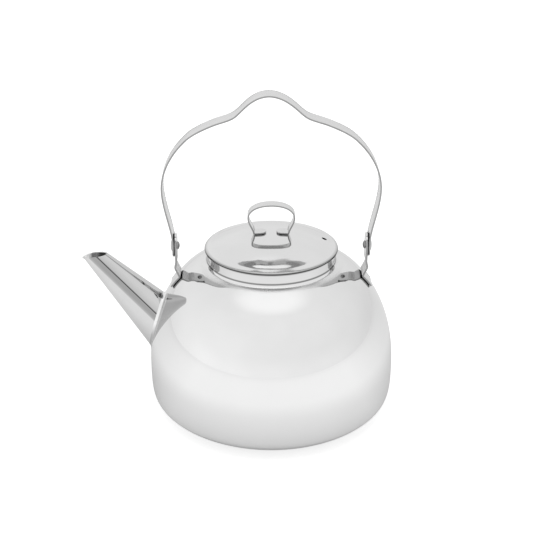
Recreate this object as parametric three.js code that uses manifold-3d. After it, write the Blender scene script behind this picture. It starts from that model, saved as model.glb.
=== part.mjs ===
// Coffee kettle of polished stainless sheet: pot, welded spout, riveted bail and lift-off lid.
// Millimetres, +Z up, origin at the centre of the base's underside, spout towards -X.

import * as THREE from 'three';
import { mergeVertices } from 'three/addons/utils/BufferGeometryUtils.js';
import Module from 'manifold-3d';

const wasm = await Module();
wasm.setup();

// Clearances
const seatGap = 0.3; // between sheet pieces that lie on each other
const rivetGap = 0.2; // round a rivet's shank and under its heads
const overrun = 2; // how far a cutting shape runs past what it cuts

// Pot
const potRadius = 75.1; // widest, at the belly line
const potWall = 1;
const bellyHeight = 30.1;
const baseRadius = 52; // flat that stands on the hob
const shoulderHeight = 96.8; // where the shoulder runs into the neck fillet
const neckRadius = 38.7;
const neckFillet = 3.6;
const neckRise = 8.3; // above the shoulder
const neckTop = shoulderHeight + neckRise;

// Shares that draw the pot's side, across from one named radius to the next and up between heights
const heelAcrossShare = 0.89;
const heelUpShare = 0.31;
const heelLean = 38; // degrees from upright at the heel
const basePullShare = 0.33;
const heelLowPullShare = 0.2;
const heelHighPullShare = 0.14;
const bellyLowPullShare = 0.51;
const bellyHighPullShare = 0.36;
const hipAcrossShare = 0.5;
const hipUpShare = 0.81;
const hipSlope = 52; // degrees below level at the hip
const hipLowPullShare = 0.25;
const hipHighPullShare = 0.12;
const neckPullShare = 0.08;
const neckRootSlope = 24; // degrees below level where the shoulder meets the fillet

// Spout, a rolled cone whose section is taller than it is wide
const spoutWall = 0.9;
const mouthOut = 28.8; // from the belly out to the cone's middle line at the mouth
const mouthReach = potRadius + mouthOut;
const mouthHeight = 97.1;
const rootSunk = 17.1; // from the belly in to the middle line's inner end, inside the pot
const rootReach = potRadius - rootSunk;
const rootHeight = 45.7;
const mouthHalfTall = 6.9;
const mouthHalfWide = 4.8;
const rootHalfTall = 17.9;
const rootHalfWide = 14.5;
const mouthTilt = 7.5; // degrees that the cut mouth drops towards its lip
const lipLength = 3.6; // of the wall below the mouth's far end that is pressed out to a lip
const lipOut = 0.74; // how far its tip is pressed out
const lipDown = 1.8; // and down

// Bail, a strip bent to a loop; its heights are counted from the rivets' line
const rivetRise = 1.55; // above the neck's top
const rivetHeight = neckTop + rivetRise;
const stripWidth = 12.4; // of the bail and the ears
const bailSheet = 1;
const bailInset = 15.95; // from the belly in to its outer face beside the rivets
const bailFaceHalf = potRadius - bailInset;
const bailBow = 5.45; // how much further out its outer face is at its widest
const bailHalfWidth = bailFaceHalf + bailBow;
const bailRise = 94.25;
const bailDrop = 6.9; // below the rivets' line
const crownShift = -1.4; // the bent crown stands a little towards the spout
const crownShiftPower = 6; // how quickly that lean fades down the arms

// Points and pulls of the bail's outer face: across as shares of bailHalfWidth, up of bailRise
const armStartShare = 0.04;
const armLowPullShare = 0.085;
const armHighPullShare = 0.12;
const widestUpShare = 0.396;
const bailSideShares = [
  [[1, 0.524], [0.895, 0.638], [0.786, 0.71]],
  [[0.733, 0.75], [0.644, 0.782], [0.531, 0.814]],
  [[0.449, 0.838], [0.378, 0.844], [0.325, 0.868]],
  [[0.257, 0.899], [0.167, 0.996], [0, 1]],
];

// Ears
const earSheet = 1.1;
const earTabTop = 7.5; // above the rivets' line
const earToBailGap = 0.5;
const webRise = 6.3; // from the underside of the crease up to the elbow
const elbowOut = 0.9; // how far the tab's lower end is bent out to the elbow
const elbowRise = 2.7; // from the elbow up to where that bend starts
const creaseInset = 4.85; // from the bail's outer face in to the underside of the crease
const creaseReach = bailFaceHalf - creaseInset;
const footOut = 1.35; // from the bail's outer face out to the end of the foot
const footReach = bailFaceHalf + footOut;
const earBend = 1.3;

// Rivets
const shankRadius = 1.6;
const outerHeadRadius = 3.6;
const outerHeadHeight = 1.1;
const innerHeadRadius = 2.5;
const innerHeadHeight = 1.4;

// Lid
const lidOverhang = 1.45; // past the neck
const lidRadius = neckRadius + lidOverhang;
const lidSheet = 0.9;
const lidRise = 9.81; // from the rim's lower edge to the top of the dome
const rimTurn = 1.2; // radius of the turned-down rim
const domeSlope = 23.1; // degrees below level all along the dome's outer part
const domeCrownPullShare = 0.494; // of the dome's half width
const domeEdgePullShare = 0.401;
const ventRadius = 1.5;
const ventReach = 32;
const ventOffset = 3;
const ringSheet = 0.8;
const ringClearance = 0.6; // radial, inside the neck
const ringDepth = 11; // below the neck's top
const ringLand = 4; // flange that is welded to the dome

// Knob
const knobSheet = 0.9;
const knobWidth = 7.2;
const knobRise = 19.02; // above the dome under its feet
const knobHalfWidth = 14.2;
const knobWaistHalf = 10.9; // outer face where the loop stands on its feet
const knobFootEnd = 3; // half the gap between the feet
const knobBend = 1.3;

// Points and pulls of the knob's outer face: across between waist and widest, up between feet and top
const knobWidestUpShare = 0.56;
const knobLowAcrossShare = 0.3;
const knobLowUpShare = 0.24;
const knobSidePullShare = 0.18;
const knobCrownPullShare = 0.26;
const knobTopPullShare = 0.6;

// How finely round shapes are drawn
const potSides = 60;
const lidSides = 56;
const spoutSides = 36;
const spoutRings = 12;
const ringCrowding = 2.4; // towards the lip
const curveSteps = 5;
const bendSteps = 3;
const rivetSides = 20;

const radians = (degrees) => THREE.MathUtils.degToRad(degrees);
const point = (x, y) => new THREE.Vector2(x, y);
const between = (from, to, share) => from + (to - from) * share;

// Solids and how they are cut

function toSolid(geometry) {
  const bare = geometry.clone();
  bare.deleteAttribute('normal');
  bare.deleteAttribute('uv');
  const merged = mergeVertices(bare);
  const index = merged.index.array;
  const corners = [];
  for (let i = 0; i < index.length; i += 3) {
    const [a, b, c] = [index[i], index[i + 1], index[i + 2]];
    if (a !== b && b !== c && c !== a) corners.push(a, b, c);
  }
  return new wasm.Manifold(new wasm.Mesh({
    numProp: 3,
    vertProperties: new Float32Array(merged.attributes.position.array),
    triVerts: new Uint32Array(corners),
  }));
}

function toGeometry(solid) {
  const mesh = solid.getMesh();
  const corners = new Float32Array(mesh.vertProperties);
  const geometry = new THREE.BufferGeometry();
  geometry.setAttribute('position', new THREE.BufferAttribute(corners, 3));
  geometry.setIndex(new THREE.BufferAttribute(new Uint32Array(mesh.triVerts), 1));
  geometry.computeVertexNormals();
  return geometry;
}

function piece(name, geometry, color, roughness) {
  const steel = new THREE.MeshStandardMaterial({ color, roughness, metalness: 1 });
  const mesh = new THREE.Mesh(geometry, steel);
  mesh.name = name;
  return mesh;
}

// Lines and the shapes made from them

function pathPoints(path, steps) {
  const points = [];
  for (const curve of path.curves) {
    const count = curve instanceof THREE.LineCurve ? 1 : steps;
    for (const spot of curve.getPoints(count)) {
      if (points.length === 0 || !points.at(-1).equals(spot)) points.push(spot);
    }
  }
  return points;
}

// The same line moved sideways, to its left when distance is positive, with its corners kept
function offsetLine(points, distance) {
  return points.map((spot, i) => {
    const before = points[Math.max(i - 1, 0)];
    const after = points[Math.min(i + 1, points.length - 1)];
    const into = (i === 0 ? after.clone().sub(spot) : spot.clone().sub(before)).normalize();
    const out = (i === points.length - 1 ? into.clone() : after.clone().sub(spot)).normalize();
    const along = into.clone().add(out).normalize();
    const reach = distance / along.dot(into);
    return point(spot.x - along.y * reach, spot.y + along.x * reach);
  });
}

// A strip seen edge-on: one face's line, and the other face on its left
function stripShape(face, thickness) {
  return new THREE.Shape([...face, ...offsetLine(face, thickness).reverse()]);
}

const mirrored = (points) => points.map((spot) => point(-spot.x, spot.y)).reverse();

// A profile of radius and height, turned about +Z
function revolve(profile, sides) {
  return new THREE.LatheGeometry(profile, sides).rotateX(Math.PI / 2);
}

// A shape drawn in the XZ plane, running along Y and centred on it
function acrossY(shape, width) {
  const geometry = new THREE.ExtrudeGeometry(shape, { depth: width, bevelEnabled: false });
  return geometry.rotateX(Math.PI / 2).translate(0, width / 2, 0);
}

// A shape drawn in the YZ plane, running along X and centred on it
function acrossX(shape, width) {
  const depth = { depth: width, bevelEnabled: false, curveSegments: 2 * curveSteps };
  const geometry = new THREE.ExtrudeGeometry(shape, depth);
  return geometry.rotateX(Math.PI / 2).rotateZ(Math.PI / 2).translate(-width / 2, 0, 0);
}

// Upright strip as seen from the side, with a round end above or below
function tongueShape(flatEnd, roundEnd) {
  const half = stripWidth / 2;
  const up = Math.sign(roundEnd - flatEnd);
  const shape = new THREE.Shape();
  shape.moveTo(-half, flatEnd);
  shape.lineTo(half, flatEnd);
  shape.absarc(0, roundEnd - up * half, half, 0, up * Math.PI, up < 0);
  return shape;
}

function rivetHole() {
  const radius = shankRadius + rivetGap;
  const length = 2 * (bailFaceHalf + overrun);
  const hole = new THREE.CylinderGeometry(radius, radius, length, rivetSides);
  return toSolid(hole.rotateZ(Math.PI / 2).translate(0, 0, rivetHeight));
}

// Pot

// Side of the pot: out along the flat base, up round heel, belly and shoulder, up the neck
function potSide() {
  const rootRadius = neckRadius + neckFillet * (1 - Math.sin(radians(neckRootSlope)));
  const rise = shoulderHeight - bellyHeight;
  const slopeOf = (degrees) => point(Math.cos(radians(degrees)), Math.sin(radians(degrees)));
  const pull = (from, slope, length) => from.clone().addScaledVector(slope, length);

  const heel = point(between(baseRadius, potRadius, heelAcrossShare), bellyHeight * heelUpShare);
  const heelSlope = slopeOf(90 - heelLean);
  const hipRadius = between(rootRadius, potRadius, hipAcrossShare);
  const hip = point(hipRadius, between(bellyHeight, shoulderHeight, hipUpShare));
  const hipDirection = slopeOf(180 - hipSlope);
  const root = point(rootRadius, shoulderHeight);
  const rootDirection = slopeOf(180 - neckRootSlope);

  const side = new THREE.Path();
  const curveTo = (a, b, end) => side.bezierCurveTo(a.x, a.y, b.x, b.y, end.x, end.y);
  side.moveTo(0, 0);
  side.lineTo(baseRadius, 0);
  curveTo(
    point(between(baseRadius, potRadius, basePullShare), 0),
    pull(heel, heelSlope, -bellyHeight * heelLowPullShare),
    heel,
  );
  curveTo(
    pull(heel, heelSlope, bellyHeight * heelHighPullShare),
    point(potRadius, bellyHeight * (1 - bellyLowPullShare)),
    point(potRadius, bellyHeight),
  );
  curveTo(
    point(potRadius, bellyHeight + rise * bellyHighPullShare),
    pull(hip, hipDirection, -rise * hipLowPullShare),
    hip,
  );
  curveTo(
    pull(hip, hipDirection, rise * hipHighPullShare),
    pull(root, rootDirection, -rise * neckPullShare),
    root,
  );
  const filletHeight = shoulderHeight + neckFillet * Math.cos(radians(neckRootSlope));
  const filletStart = radians(270 - neckRootSlope);
  side.absarc(neckRadius + neckFillet, filletHeight, neckFillet, filletStart, Math.PI, true);
  side.lineTo(neckRadius, neckTop);
  return pathPoints(side, curveSteps);
}

// The pot filled in, grown outwards by grow
function potBlock(grow) {
  return toSolid(revolve([...offsetLine(potSide(), -grow), point(0, neckTop)], potSides));
}

function potShell() {
  const side = potSide();
  const shell = revolve([...side, ...offsetLine(side, potWall).reverse()], potSides);
  return toGeometry(toSolid(shell).subtract(spoutCone(spoutWall)));
}

// Spout

const spoutRoot = new THREE.Vector3(-rootReach, 0, rootHeight);
const spoutMouth = new THREE.Vector3(-mouthReach, 0, mouthHeight);
const spoutWide = new THREE.Vector3(0, 1, 0);
const spoutAxis = spoutMouth.clone().sub(spoutRoot).normalize();
const spoutTall = new THREE.Vector3().crossVectors(spoutWide, spoutAxis);

const spoutLength = spoutMouth.distanceTo(spoutRoot);
// How much longer the cone's lower side is than its middle line, where the mouth is cut
const cutSlope = Math.atan2(spoutAxis.z, -spoutAxis.x) + radians(mouthTilt);
const spoutReach = spoutLength + 2 * mouthHalfTall / Math.tan(cutSlope);

// Filled cone from inside the pot to past the mouth, its face set in by inset; its rings crowd
// towards the lip
function spoutCone(inset) {
  const geometry = new THREE.CylinderGeometry(1, 1, 1, spoutSides, spoutRings);
  const position = geometry.attributes.position;
  for (let i = 0; i < position.count; i += 1) {
    const ringShare = position.getY(i) + 1 / 2;
    const along = (spoutReach + overrun) * (1 - (1 - ringShare) ** ringCrowding);
    const share = along / spoutLength;
    const tall = position.getX(i) * (between(rootHalfTall, mouthHalfTall, share) - inset);
    const wide = -position.getZ(i) * (between(rootHalfWide, mouthHalfWide, share) - inset);
    const spot = spoutRoot.clone().addScaledVector(spoutAxis, along);
    spot.addScaledVector(spoutTall, tall).addScaledVector(spoutWide, wide);
    position.setXYZ(i, spot.x, spot.y, spot.z);
  }
  return toSolid(geometry);
}

// All that lies above the slanted cut of the mouth
function mouthCut() {
  const size = 4 * rootHalfTall;
  const cut = new THREE.BoxGeometry(size, size, size).translate(0, 0, size / 2);
  const topEdge = spoutMouth.clone().addScaledVector(spoutTall, mouthHalfTall);
  return toSolid(cut.rotateY(-radians(mouthTilt)).translate(topEdge.x, topEdge.y, topEdge.z));
}

// Moves a spot of the mouth's low end out and down, most at the tip
function pressLip(spot) {
  const fromRoot = new THREE.Vector3(...spot).sub(spoutRoot);
  const along = fromRoot.dot(spoutAxis);
  const halfTall = between(rootHalfTall, mouthHalfTall, along / spoutLength);
  const lower = Math.max(0, -fromRoot.dot(spoutTall) / halfTall);
  const lip = Math.max(0, along - spoutReach + lipLength) / lipLength;
  spot[0] -= lipOut * (lip * lower) ** 2;
  spot[2] -= lipDown * (lip * lower) ** 2;
}

function spoutShell() {
  const wall = spoutCone(0).subtract(spoutCone(spoutWall));
  return toGeometry(wall.subtract(potBlock(seatGap)).subtract(mouthCut()).warp(pressLip));
}

// Ears

// Shoulder from one distance to another further out, raised by the gap that a foot keeps over it
function shoulderLine(from, to) {
  const side = offsetLine(potSide(), -seatGap);
  const at = (reach) => {
    const i = side.findIndex((spot) => spot.y > bellyHeight && spot.x <= reach);
    const [low, high] = [side[i - 1], side[i]];
    return point(reach, between(low.y, high.y, (low.x - reach) / (low.x - high.x)));
  };
  const [start, end] = [at(from), at(to)];
  const bends = side.filter((spot) => spot.y > end.y && spot.y < start.y && spot.x < end.x);
  return [start, ...bends.reverse(), end];
}

// A line through corners, each rounded by a curve that starts bend away from it
function roundedLine(corners, bend) {
  const line = new THREE.Path();
  line.moveTo(corners[0].x, corners[0].y);
  for (let i = 1; i < corners.length - 1; i += 1) {
    const [before, corner, after] = corners.slice(i - 1, i + 2);
    const start = before.clone().sub(corner).setLength(bend).add(corner);
    const end = after.clone().sub(corner).setLength(bend).add(corner);
    line.lineTo(start.x, start.y);
    line.quadraticCurveTo(corner.x, corner.y, end.x, end.y);
  }
  line.lineTo(corners.at(-1).x, corners.at(-1).y);
  return pathPoints(line, bendSteps);
}

// Face of the ear's tab that looks at the kettle's axis
const earFace = bailFaceHalf - bailSheet - earToBailGap - earSheet;

// Upright tab bent out at its lower end, a web that leans in to the shoulder, and a foot that turns
// out and lies along it
function earShape() {
  const [crease, ...foot] = shoulderLine(creaseReach, footReach);
  const flat = foot.filter((spot) => spot.distanceTo(crease) > 1.1 * earBend);
  const elbow = point(earFace + elbowOut, crease.y + webRise);
  const bent = roundedLine([
    point(earFace, rivetHeight + earTabTop),
    point(earFace, elbow.y + elbowRise),
    elbow,
    crease,
    flat[0],
  ], earBend);
  return stripShape([...bent, ...flat.slice(1)], earSheet);
}

function ear() {
  const strip = toSolid(acrossY(earShape(), stripWidth));
  const tongue = toSolid(acrossX(tongueShape(bellyHeight, rivetHeight + earTabTop), 2 * bailHalfWidth));
  return toGeometry(strip.intersect(tongue).subtract(rivetHole()));
}

// Rivets

function rivet() {
  const innerSeat = earFace - rivetGap;
  const outerSeat = bailFaceHalf + rivetGap;
  const profile = new THREE.Path();
  profile.absellipse(0, innerSeat, innerHeadRadius, innerHeadHeight, -Math.PI / 2, 0, false);
  profile.lineTo(shankRadius, innerSeat);
  profile.lineTo(shankRadius, outerSeat);
  profile.lineTo(outerHeadRadius, outerSeat);
  profile.absellipse(0, outerSeat, outerHeadRadius, outerHeadHeight, 0, Math.PI / 2, false);
  const points = pathPoints(profile, curveSteps);
  points[0].setX(0);
  points.at(-1).setX(0);
  const turned = new THREE.LatheGeometry(points, rivetSides);
  return turned.rotateZ(-Math.PI / 2).translate(0, 0, rivetHeight);
}

// Bail

// Outer face from the right end over the crown to the left end
function bailFace() {
  const across = (share) => bailHalfWidth * share;
  const up = (share) => rivetHeight + bailRise * share;
  const half = new THREE.Path();
  half.moveTo(bailFaceHalf, rivetHeight - bailDrop);
  half.lineTo(bailFaceHalf, up(armStartShare));
  half.bezierCurveTo(
    bailFaceHalf,
    up(armStartShare + armLowPullShare),
    bailHalfWidth,
    up(widestUpShare - armHighPullShare),
    bailHalfWidth,
    up(widestUpShare),
  );
  for (const [a, b, end] of bailSideShares) {
    half.bezierCurveTo(across(a[0]), up(a[1]), across(b[0]), up(b[1]), across(end[0]), up(end[1]));
  }
  const right = pathPoints(half, curveSteps);
  const whole = [...right, ...mirrored(right).slice(1)];
  return whole.map((spot) => {
    const upShare = Math.max(0, spot.y - rivetHeight) / bailRise;
    return point(spot.x + crownShift * upShare ** crownShiftPower, spot.y);
  });
}

function bail() {
  const strip = toSolid(acrossY(stripShape(bailFace(), bailSheet), stripWidth));
  const clearOfCrown = rivetHeight + bailRise + overrun;
  const tongue = toSolid(acrossX(tongueShape(clearOfCrown, rivetHeight - bailDrop), 4 * bailHalfWidth));
  return toGeometry(strip.intersect(tongue).subtract(rivetHole()));
}

// Lid

const domeHalf = lidRadius - rimTurn;
const domeRise = lidRise - rimTurn;

// Dome's line from the axis out to where the rim turns down, heights counted from its top: round
// on its crown and nearly straight further out
function domeLine(lift) {
  const edge = point(domeHalf, -domeRise);
  const slope = point(-Math.cos(radians(domeSlope)), Math.sin(radians(domeSlope)));
  const pull = edge.clone().addScaledVector(slope, domeHalf * domeEdgePullShare);
  const line = new THREE.Path();
  line.moveTo(0, 0);
  line.bezierCurveTo(domeHalf * domeCrownPullShare, 0, pull.x, pull.y, edge.x, edge.y);
  return offsetLine(pathPoints(line, 2 * curveSteps), lift);
}

// Height of a line at a distance from the axis, its last stretch carried on past its end
function heightOn(line, reach) {
  const i = line.findIndex((spot) => spot.x >= reach);
  const [before, after] = i < 1 ? line.slice(-2) : [line[i - 1], line[i]];
  return between(before.y, after.y, (reach - before.x) / (after.x - before.x));
}

// The dome's underside clears the neck's edge
const domeTop = neckTop + seatGap - heightOn(domeLine(-lidSheet), neckRadius);
const domeAt = (reach, lift) => domeTop + heightOn(domeLine(lift), reach);

function lidCover() {
  const edgeHeight = domeTop - domeRise;
  const turn = new THREE.Path();
  turn.moveTo(domeHalf, edgeHeight);
  const corner = edgeHeight - rimTurn * Math.tan(radians(domeSlope));
  turn.quadraticCurveTo(lidRadius, corner, lidRadius, edgeHeight - rimTurn);
  const crown = domeLine(0).map((spot) => point(spot.x, domeTop + spot.y));
  const outside = [...crown.slice(0, -1), ...pathPoints(turn, curveSteps)];
  const inside = offsetLine(outside, -lidSheet);
  outside[0].setX(0);
  inside[0].setX(0);
  const cover = toSolid(revolve([...inside, ...outside.reverse()], lidSides));
  const vent = new THREE.CylinderGeometry(ventRadius, ventRadius, 2 * domeRise, rivetSides);
  vent.rotateX(Math.PI / 2).translate(ventReach, ventOffset, domeAt(ventReach, 0));
  return toGeometry(cover.subtract(toSolid(vent)));
}

// Ring that drops into the neck, with a land that is welded to the dome's underside
function lidRing() {
  const ringRadius = neckRadius - potWall - ringClearance;
  const sunk = -lidSheet - seatGap;
  const face = [
    point(ringRadius, neckTop - ringDepth),
    point(ringRadius, domeAt(ringRadius, sunk)),
    point(ringRadius - ringLand, domeAt(ringRadius - ringLand, sunk)),
  ];
  const profile = [...face, ...offsetLine(face, ringSheet).reverse()];
  return revolve([...profile, profile[0]], lidSides);
}

// Knob

// Outer face of the loop, from under the right foot round to under the left foot
function knobFace() {
  const seat = domeAt(knobWaistHalf, seatGap);
  const rise = knobRise - seatGap;
  const across = (share) => between(knobWaistHalf, knobHalfWidth, share);
  const footBend = roundedLine([
    point(knobFootEnd, domeAt(knobFootEnd, seatGap)),
    point(knobWaistHalf, seat),
    point(knobWaistHalf, seat + 2 * knobBend),
  ], knobBend).slice(0, -1);
  const side = new THREE.Path();
  side.moveTo(footBend.at(-1).x, footBend.at(-1).y);
  side.bezierCurveTo(
    across(knobLowAcrossShare),
    seat + rise * knobLowUpShare,
    knobHalfWidth,
    seat + rise * (knobWidestUpShare - knobSidePullShare),
    knobHalfWidth,
    seat + rise * knobWidestUpShare,
  );
  side.bezierCurveTo(
    knobHalfWidth,
    seat + rise * (knobWidestUpShare + knobCrownPullShare),
    knobHalfWidth * knobTopPullShare,
    seat + rise,
    0,
    seat + rise,
  );
  const right = [...footBend, ...pathPoints(side, curveSteps).slice(1)];
  return [...right, ...mirrored(right).slice(1)];
}

// What is cut from between the feet, seen from above, so that each foot ends round
function footGap() {
  const half = knobWidth / 2;
  const centre = knobFootEnd + half;
  const gap = new THREE.Shape();
  gap.moveTo(-centre, -half - overrun);
  gap.lineTo(centre, -half - overrun);
  gap.absarc(centre, 0, half, -Math.PI / 2, Math.PI / 2, true);
  gap.lineTo(centre, half + overrun);
  gap.lineTo(-centre, half + overrun);
  gap.absarc(-centre, 0, half, Math.PI / 2, -Math.PI / 2, true);
  const depth = { depth: 2 * overrun, bevelEnabled: false, curveSegments: 2 * curveSteps };
  const cut = new THREE.ExtrudeGeometry(gap, depth);
  return toSolid(cut.translate(0, 0, domeAt(0, 0) - overrun + knobSheet));
}

function knob() {
  const strip = toSolid(acrossY(stripShape(knobFace(), knobSheet), knobWidth));
  return toGeometry(strip.subtract(footGap()));
}

const pot = new THREE.Group();
pot.add(piece('pot_body', potShell(), 0xdcdcda, 0.08));
pot.add(piece('spout', spoutShell(), 0xd6d6d4, 0.1));
for (const [side, turn] of [['left', Math.PI], ['right', 0]]) {
  const fittings = new THREE.Group();
  fittings.rotation.z = turn;
  fittings.add(piece(`ear_${side}`, ear(), 0xd0d0ce, 0.16));
  fittings.add(piece(`rivet_${side}`, rivet(), 0xc8c8c6, 0.2));
  pot.add(fittings);
}

const lid = new THREE.Group();
lid.add(piece('lid_cover', lidCover(), 0xdadad8, 0.08));
lid.add(piece('lid_ring', lidRing(), 0xcfcfcd, 0.2));
lid.add(piece('lid_knob', knob(), 0xd4d4d2, 0.14));

const kettle = new THREE.Group();
kettle.add(pot, lid, piece('bail_handle', bail(), 0xd2d2d0, 0.16));

export default kettle;
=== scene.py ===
import math

import bmesh
import bpy
from mathutils import Matrix, Vector


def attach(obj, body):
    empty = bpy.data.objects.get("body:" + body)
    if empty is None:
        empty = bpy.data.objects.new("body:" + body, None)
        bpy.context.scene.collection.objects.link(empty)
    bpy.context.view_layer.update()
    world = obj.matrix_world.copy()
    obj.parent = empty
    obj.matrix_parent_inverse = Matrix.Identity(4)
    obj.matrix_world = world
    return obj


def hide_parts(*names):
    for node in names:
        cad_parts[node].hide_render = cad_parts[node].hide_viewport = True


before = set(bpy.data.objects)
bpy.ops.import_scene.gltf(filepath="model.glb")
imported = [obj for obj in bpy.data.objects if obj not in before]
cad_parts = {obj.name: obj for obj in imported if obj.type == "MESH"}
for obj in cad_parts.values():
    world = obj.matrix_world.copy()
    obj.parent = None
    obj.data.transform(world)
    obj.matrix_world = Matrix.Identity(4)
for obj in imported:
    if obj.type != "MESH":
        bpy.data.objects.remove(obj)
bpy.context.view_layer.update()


def mm(value):
    return value / 1000


# camera and view

cameraSetup = {
    "place": (-0.0084497, -0.648377, 0.392143),
    "turn": (65.012, 0.0, -0.68),  # degrees
    "lens": 78.547,
}

cameraData = bpy.data.cameras.new("photoCamera")
cameraData.lens = cameraSetup["lens"]
cameraData.sensor_width = 36
cameraData.clip_start = 0.01
camera = bpy.data.objects.new("photoCamera", cameraData)
camera.location = cameraSetup["place"]
camera.rotation_euler = [math.radians(angle) for angle in cameraSetup["turn"]]
bpy.context.scene.collection.objects.link(camera)
bpy.context.scene.camera = camera
bpy.context.scene.view_settings.view_transform = "Standard"


# materials

def linearColour(hexColour):
    channels = [int(hexColour[i:i + 2], 16) / 255 for i in (1, 3, 5)]
    return [c / 12.92 if c <= 0.04045 else ((c + 0.055) / 1.055) ** 2.4 for c in channels] + [1.0]


def addNode(tree, kind, inputs=None, **settings):
    # sockets go by name, or by number where names repeat: a Mix node's colours are 6 and 7, and its
    # plain values 2 and 3
    node = tree.nodes.new(kind)
    for key, value in settings.items():
        setattr(node, key, value)
    for key, value in (inputs or {}).items():
        if isinstance(value, bpy.types.NodeSocket):
            tree.links.new(value, node.inputs[key])
        else:
            node.inputs[key].default_value = value
    return node


keptAgain = 0.66  # share of a steel's light that is left where it is only seen in another piece


def polishedSteel(name, finish):
    # finish gives hex colours, roughness from and to, ripple in mm, and the size in mm of its patterns;
    # a skin that scatters light is less metallic
    steel = bpy.data.materials.new(name)
    steel.use_nodes = True
    tree = steel.node_tree
    shader = tree.nodes["Principled BSDF"]
    shader.inputs["Metallic"].default_value = finish.get("metallic", 1.0)
    place = addNode(tree, "ShaderNodeTexCoord").outputs["Object"]

    # smears left by the polishing mop, seen as slightly duller patches
    smear = addNode(tree, "ShaderNodeTexNoise", {
        "Vector": place, "Scale": 1 / mm(finish["smearSize"]), "Detail": 3.0, "Roughness": 0.55})
    roughness = addNode(tree, "ShaderNodeMapRange", {
        "Value": smear.outputs["Fac"], "From Min": 0.35, "From Max": 0.7,
        "To Min": finish["roughness"][0], "To Max": finish["roughness"][1]})
    tone = addNode(tree, "ShaderNodeMix", {
        "Factor": smear.outputs["Fac"], 6: linearColour(finish["colours"][0]),
        7: linearColour(finish["colours"][1])}, data_type="RGBA")

    # light seen by way of another piece was lost twice, which sets off the strips in lid and shoulder
    rays = addNode(tree, "ShaderNodeLightPath")
    seenAgain = addNode(tree, "ShaderNodeMath", {
        0: rays.outputs["Is Glossy Ray"], 1: rays.outputs["Is Diffuse Ray"]}, operation="MAXIMUM",
        name="seenAgain")
    tone = addNode(tree, "ShaderNodeMix", {
        "Factor": seenAgain.outputs["Value"], 6: tone.outputs[2], 7: (*[keptAgain] * 3, 1.0)},
        data_type="RGBA", blend_type="MULTIPLY")

    # turning lines: fine rings round the upright axis, or lines along the strip
    parts = addNode(tree, "ShaderNodeSeparateXYZ", {"Vector": place})
    if finish["lines"] == "turned":
        flat = addNode(tree, "ShaderNodeCombineXYZ", {"X": parts.outputs["X"], "Y": parts.outputs["Y"]})
        reach = addNode(tree, "ShaderNodeVectorMath", {0: flat.outputs["Vector"]}, operation="LENGTH")
        lineSpot = addNode(tree, "ShaderNodeCombineXYZ", {
            "X": reach.outputs["Value"], "Y": parts.outputs["Z"]})
    else:
        lineSpot = addNode(tree, "ShaderNodeCombineXYZ", {"X": parts.outputs["Y"]})
    marks = addNode(tree, "ShaderNodeTexNoise", {
        "Vector": lineSpot.outputs["Vector"], "Scale": 1 / mm(finish["lineSize"]), "Detail": 2.0})
    ripple = addNode(tree, "ShaderNodeTexNoise", {
        "Vector": place, "Scale": 1 / mm(finish["rippleSize"]), "Detail": 1.0, "Roughness": 0.4})
    lineBump = addNode(tree, "ShaderNodeBump", {
        "Height": marks.outputs["Fac"], "Distance": mm(finish["lineDepth"]), "Strength": 1.0})
    rippleBump = addNode(tree, "ShaderNodeBump", {
        "Height": ripple.outputs["Fac"], "Distance": mm(finish["ripple"]), "Strength": 1.0,
        "Normal": lineBump.outputs["Normal"]})

    tree.links.new(tone.outputs[2], shader.inputs["Base Color"])
    tree.links.new(roughness.outputs["Result"], shader.inputs["Roughness"])
    tree.links.new(rippleBump.outputs["Normal"], shader.inputs["Normal"])
    return steel


def rampAlong(tree, distance, stops):
    # stops give a distance in mm and the value there
    low, high = stops[0][0], stops[-1][0]
    share = addNode(tree, "ShaderNodeMapRange", {
        "Value": distance, "From Min": mm(low), "From Max": mm(high)})
    ramp = addNode(tree, "ShaderNodeValToRGB", {"Fac": share.outputs["Result"]})
    marks = ramp.color_ramp.elements
    while len(marks) < len(stops):
        marks.new(0.5)
    for mark, (level, kept) in zip(marks, stops):
        mark.position = (level - low) / (high - low)
        mark.color = (*[kept] * 3, 1.0)
    return ramp.outputs["Color"]


def shadeAlong(steel, distance, stops):
    # stops give the share of the colour that is kept where shade is painted; the painted shade is left out
    # where a piece is only seen in another piece
    tree = steel.node_tree
    shader = tree.nodes["Principled BSDF"]
    direct = addNode(tree, "ShaderNodeMath", {
        0: 1.0, 1: tree.nodes["seenAgain"].outputs["Value"]}, operation="SUBTRACT")
    shaded = addNode(tree, "ShaderNodeMix", {
        "Factor": direct.outputs["Value"], 6: shader.inputs["Base Color"].links[0].from_socket,
        7: rampAlong(tree, distance, stops)}, data_type="RGBA", blend_type="MULTIPLY")
    tree.links.new(shaded.outputs[2], shader.inputs["Base Color"])


def placeAlong(steel, axis):
    place = addNode(steel.node_tree, "ShaderNodeTexCoord").outputs["Object"]
    return addNode(steel.node_tree, "ShaderNodeSeparateXYZ", {"Vector": place}).outputs[axis]


def shadeByHeight(steel, stops):
    shadeAlong(steel, placeAlong(steel, "Z"), stops)


def roughenByHeight(steel, stops):
    # stops give the roughness added to the skin's own
    tree = steel.node_tree
    shader = tree.nodes["Principled BSDF"]
    total = addNode(tree, "ShaderNodeMath", {
        0: shader.inputs["Roughness"].links[0].from_socket,
        1: rampAlong(tree, placeAlong(steel, "Z"), stops)})
    tree.links.new(total.outputs["Value"], shader.inputs["Roughness"])


# stainless steel sheet, spun and mop-polished: a mirror with soft ripples and faint turned rings
spunSteel = polishedSteel("spunMirrorStainless", {
    "colours": ["#F0F0F0", "#EDEDED"], "roughness": [0.03, 0.08], "smearSize": 22, "lines": "turned",
    "lineSize": 0.9, "lineDepth": 0.0006, "rippleSize": 26, "ripple": 0.05})
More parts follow.
